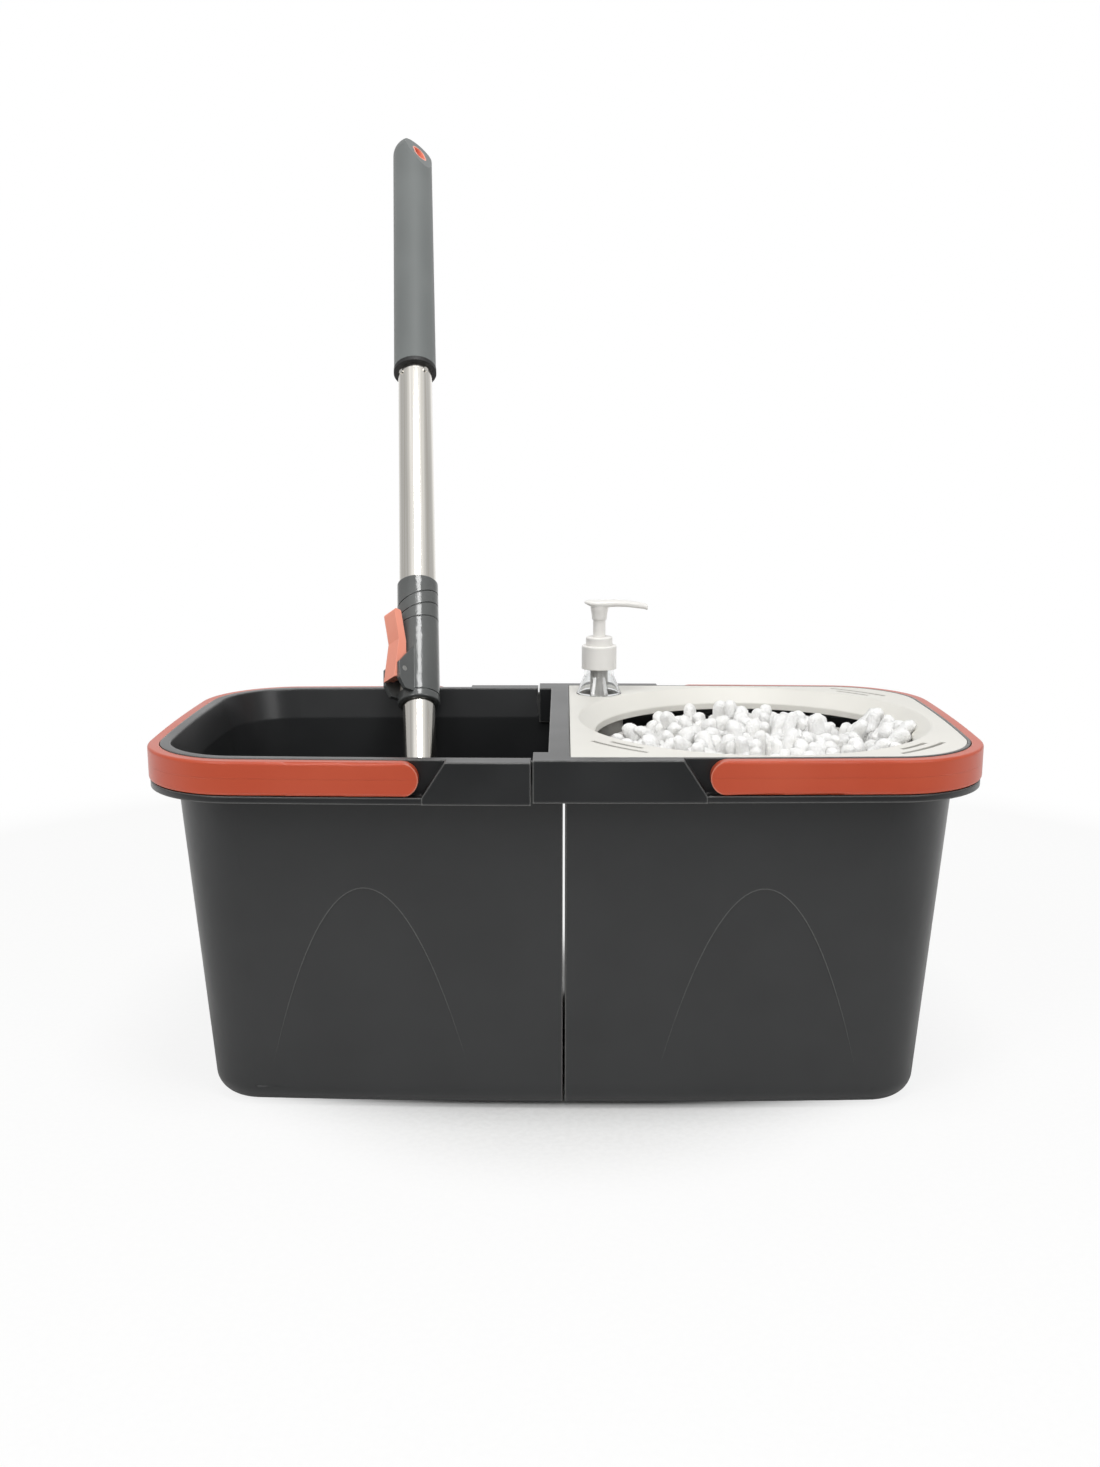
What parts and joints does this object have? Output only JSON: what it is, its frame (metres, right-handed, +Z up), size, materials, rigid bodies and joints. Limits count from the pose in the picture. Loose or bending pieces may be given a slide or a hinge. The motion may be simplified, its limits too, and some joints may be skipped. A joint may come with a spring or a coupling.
{
  "type": "spin mop set",
  "caption": "Twin hooked buckets with folding bail handles, a spin wringer tray with soap pump, and a telescopic twist-drive mop stick parked in one bucket.",
  "frame": {"origin": "middle of the left bucket's underside, on the floor", "axes": "+Z up, +X towards the wringer bucket, +Y to the back, where the stick leans"},
  "size_m": [0.524, 0.5855, 0.6848],
  "materials": {
    "acetal": "natural bearing plastic",
    "black_plastic": "black",
    "brass": "plain brass",
    "bucket_plastic": "satin dark grey polypropylene",
    "clear_plastic": "clear bottle plastic",
    "collar_plastic": "glossy dark grey",
    "coral_plastic": "satin coral polypropylene",
    "gasket_rubber": "rubber",
    "grip_plastic": "soft-touch mid grey",
    "microfibre": "white looped microfibre",
    "pale_plastic": "satin light grey polypropylene",
    "steel": "plain steel",
    "tube_steel": "polished stainless steel",
    "white_plastic": "white pump plastic"
  },
  "bodies": {
    "left_bucket": {"left_bucket": "bucket_plastic"},
    "left_handle": {"left_handle": "coral_plastic"},
    "right_bucket": {"right_bucket": "bucket_plastic", "pivot_pin": "steel", "thrust_washer": "acetal"},
    "right_handle": {"right_handle": "coral_plastic"},
    "tray": {"wringer_tray": "pale_plastic"},
    "basket": {"spin_basket": "pale_plastic", "basket_bearing": "acetal", "hub_cap": "pale_plastic"},
    "mop_head": {"mop_disc": "collar_plastic", "pad_ring": "white_plastic", "mop_pad": "microfibre"},
    "bottle": {"soap_bottle": "clear_plastic", "neck_gasket": "gasket_rubber", "pump_housing": "white_plastic", "dip_tube": "white_plastic", "inlet_ball": "steel", "pump_closure": "white_plastic", "pump_chaplet": "white_plastic", "pump_spring": "steel"},
    "plunger": {"pump_stem": "white_plastic", "pump_piston": "acetal"},
    "pump_top": {"pump_head": "white_plastic"},
    "lower_stick": {"lower_tube": "tube_steel", "guide_bush": "acetal", "foot_ferrule": "collar_plastic"},
    "upper_stick": {"upper_tube": "tube_steel", "grip": "grip_plastic", "hang_eye": "coral_plastic", "grip_end_ring": "black_plastic", "nut_carrier": "acetal", "drive_nut": "brass", "lock_collar": "collar_plastic", "clamp_shoe": "acetal", "lever_pin": "steel", "snap_button_left": "steel", "snap_button_right": "steel"},
    "lever": {"lock_lever": "coral_plastic"},
    "spindle": {"twist_rod": "steel", "head_fork": "collar_plastic", "fork_clip": "steel", "fork_pin": "steel"},
    "plug": {"head_plug": "collar_plastic"}
  },
  "joints": [
    {"name": "left_handle_swing", "type": "hinge", "parent": "left_bucket", "child": "left_handle", "pos_m": [0.035, 0, 0.2233], "axis": [0, 1, 0], "range_deg": [0, 24]},
    {"name": "right_handle_swing", "type": "hinge", "parent": "right_bucket", "child": "right_handle", "pos_m": [0.227, 0, 0.2248], "axis": [0, -1, 0], "range_deg": [0, 95]},
    {"name": "bucket_unhook", "type": "slide", "parent": "left_bucket", "child": "right_bucket", "axis": [0, 0, 1], "range_m": [0, 0.05]},
    {"name": "tray_lift", "type": "slide", "parent": "right_bucket", "child": "tray", "axis": [0, 0, 1], "range_m": [0, 0.06]},
    {"name": "basket_spin", "type": "hinge", "parent": "right_bucket", "child": "basket", "pos_m": [0.2575, 0, 0.11], "axis": [0, 0, 1], "continuous": true},
    {"name": "mop_head_lift", "type": "slide", "parent": "basket", "child": "mop_head", "axis": [0, 0, 1], "range_m": [0, 0.1]},
    {"name": "bottle_lift", "type": "slide", "parent": "tray", "child": "bottle", "axis": [0, 0, 1], "range_m": [0, 0.06]},
    {"name": "pump_press", "type": "slide", "parent": "bottle", "child": "plunger", "axis": [0, 0, -1], "range_m": [0, 0.012], "stiffness_N_per_m": 200, "springref_m": -0.01, "deforming": ["pump_spring"]},
    {"name": "pump_swivel", "type": "hinge", "parent": "plunger", "child": "pump_top", "pos_m": [0.1565, 0.0915, 0.299], "axis": [0, 0, 1], "continuous": true},
    {"name": "mop_lift", "type": "slide", "parent": "left_bucket", "child": "lower_stick", "axis": [-0.0567, 0.6147, 0.7867], "range_m": [0, 0.2]},
    {"name": "stick_extend", "type": "slide", "parent": "lower_stick", "child": "upper_stick", "axis": [-0.0567, 0.6147, 0.7867], "range_m": [-0.08, 0.12]},
    {"name": "lever_open", "type": "hinge", "parent": "upper_stick", "child": "lever", "pos_m": [0.00783, 0.09174, 0.24971], "axis": [0.674, -0.5578, 0.4843], "range_deg": [0, 75]},
    {"name": "head_spin", "type": "hinge", "parent": "lower_stick", "child": "spindle", "pos_m": [0.03878, -0.06868, 0.0219], "axis": [-0.0567, 0.6147, 0.7867], "range_deg": [-400, 270]},
    {"name": "head_swivel", "type": "hinge", "parent": "spindle", "child": "plug", "pos_m": [0.03878, -0.06868, 0.0219], "axis": [0.9974, 0, 0.0719], "range_deg": [-83, 7]}
  ],
  "couplings": [
    {"joint": "head_spin", "follows": "stick_extend", "rad_per_m": -57.12}
  ]
}
